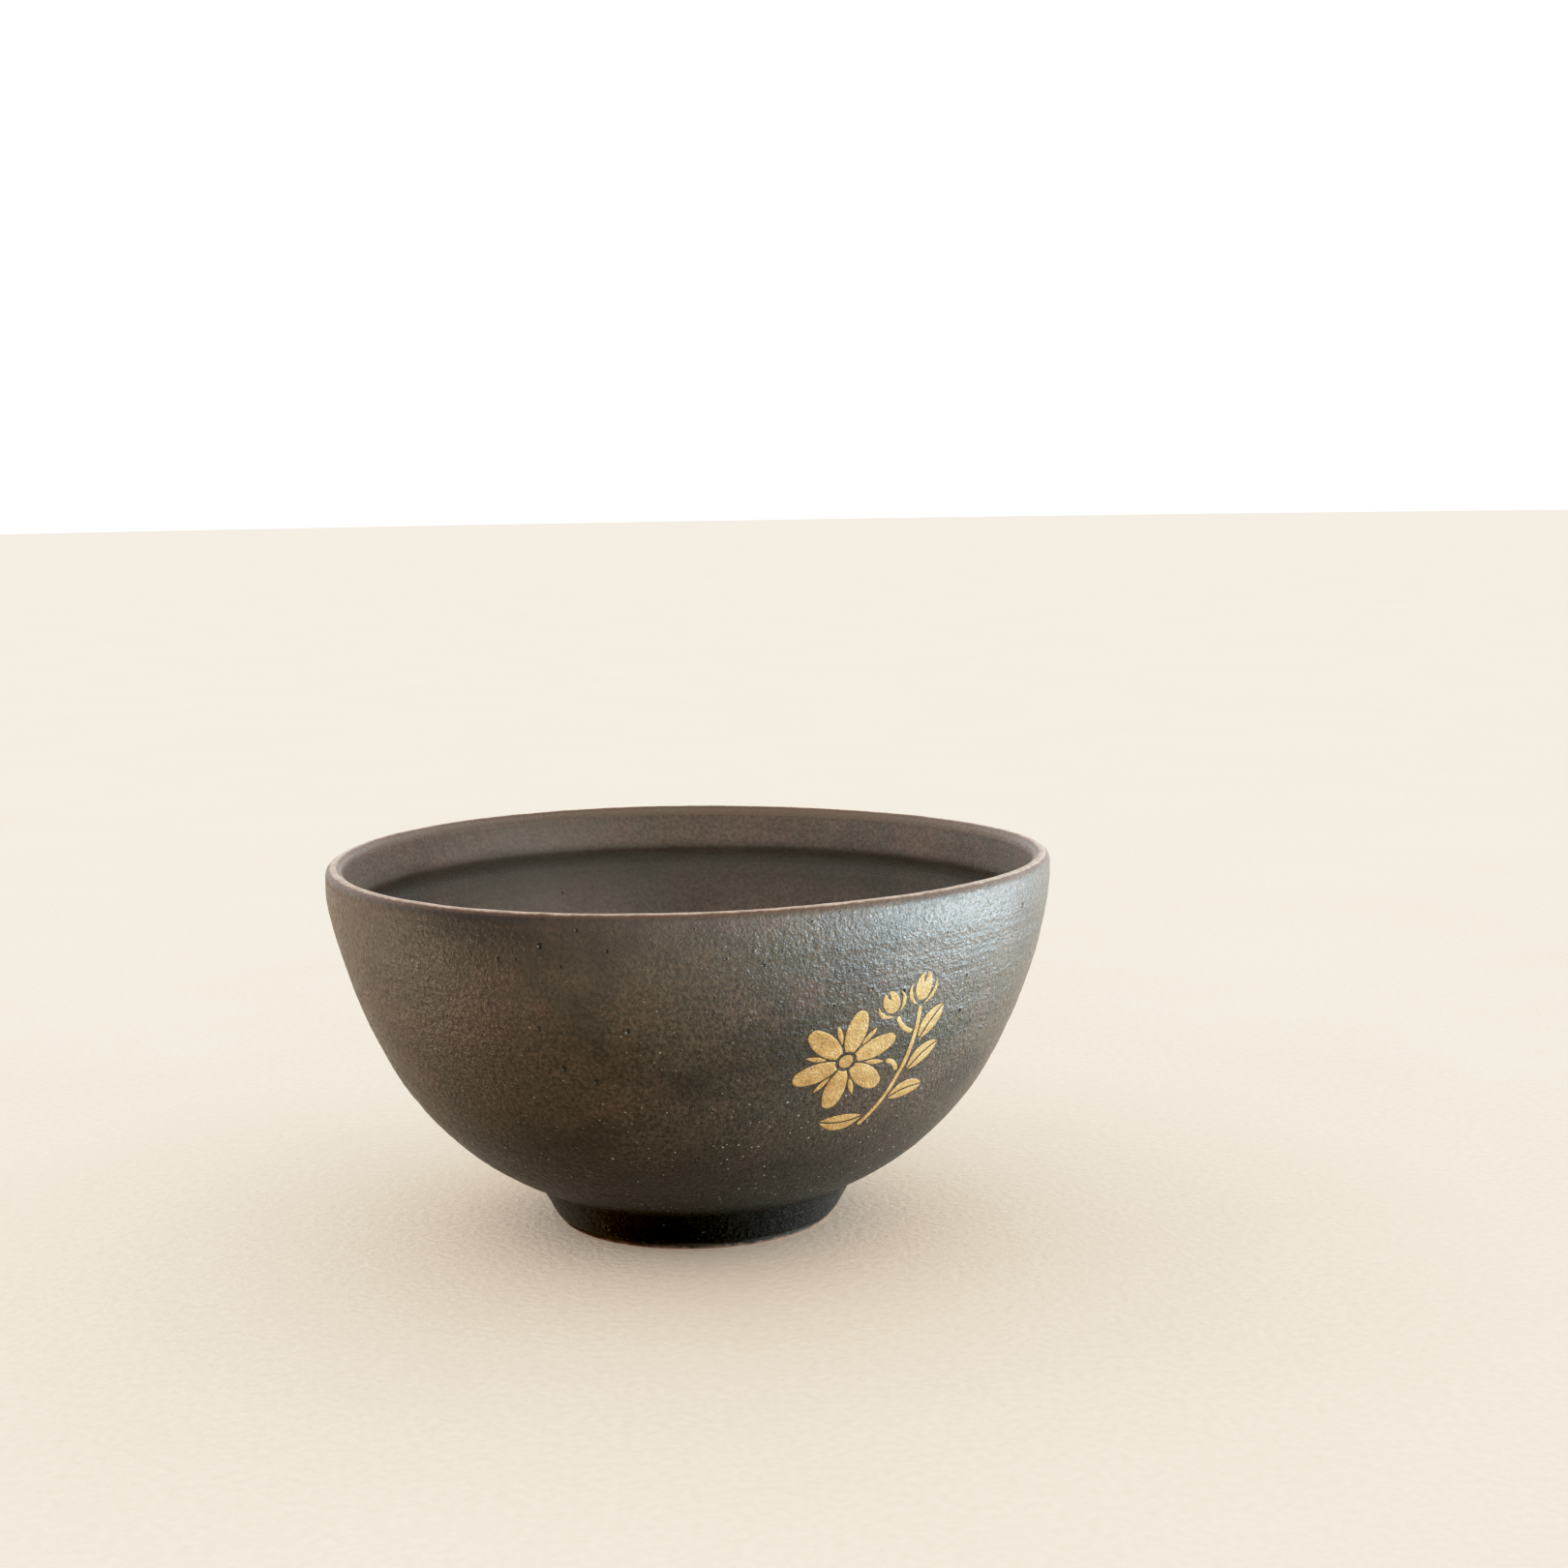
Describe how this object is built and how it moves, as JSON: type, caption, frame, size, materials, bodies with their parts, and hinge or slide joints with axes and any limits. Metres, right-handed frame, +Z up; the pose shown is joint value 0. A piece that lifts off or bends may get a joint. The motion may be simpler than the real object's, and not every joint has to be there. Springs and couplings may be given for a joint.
{
  "type": "matcha bowl",
  "caption": "Dark stoneware tea bowl on a turned foot ring, with a collar inside the rim and a spray of flowers in fired gold on the wall.",
  "frame": {"origin": "centre of the foot ring's resting plane, on the bowl's axis", "axes": "+Z up along the bowl's axis; -Y the bowl's face, with the gold spray between -Y and +X"},
  "size_m": [0.12, 0.12, 0.0615],
  "materials": {
    "clay": "bare dark stoneware, dry and slightly sandy",
    "outer_coat": "dark brown to black iron coat, satin, with a fine grain, throwing lines and pinholes",
    "inner_coat": "dark brown iron coat, matt, with soft throwing lines",
    "lip": "thin coat that breaks to tan over the edge",
    "gold": "matt fired gold with a fine speckle"
  },
  "bodies": {
    "root": {"clay_body": "clay", "foot_ring": "clay", "gold_branch": "gold", "gold_bud_stalk": "gold", "gold_disc": "gold", "gold_flower_stalk": "gold", "gold_leaf_lower_left_left_half": "gold", "gold_leaf_lower_left_right_half": "gold", "gold_leaf_lower_right_left_half": "gold", "gold_leaf_lower_right_right_half": "gold", "gold_leaf_middle_right_left_half": "gold", "gold_leaf_middle_right_right_half": "gold", "gold_leaf_upper_right_left_half": "gold", "gold_leaf_upper_right_right_half": "gold", "gold_petal_1": "gold", "gold_petal_2": "gold", "gold_petal_3": "gold", "gold_petal_4": "gold", "gold_petal_5": "gold", "gold_petal_6": "gold", "gold_sepal_1": "gold", "gold_sepal_2": "gold", "gold_sepal_3": "gold", "gold_sepal_4": "gold", "gold_sepal_5": "gold", "gold_sepal_6": "gold", "gold_side_bud": "gold", "gold_side_bud_cup_left": "gold", "gold_side_bud_cup_right": "gold", "gold_top_bud": "gold", "gold_top_bud_cup_left": "gold", "gold_top_bud_cup_right": "gold", "inner_coat": "inner_coat", "lip_band": "lip", "outer_coat": "outer_coat"}
  },
  "joints": []
}
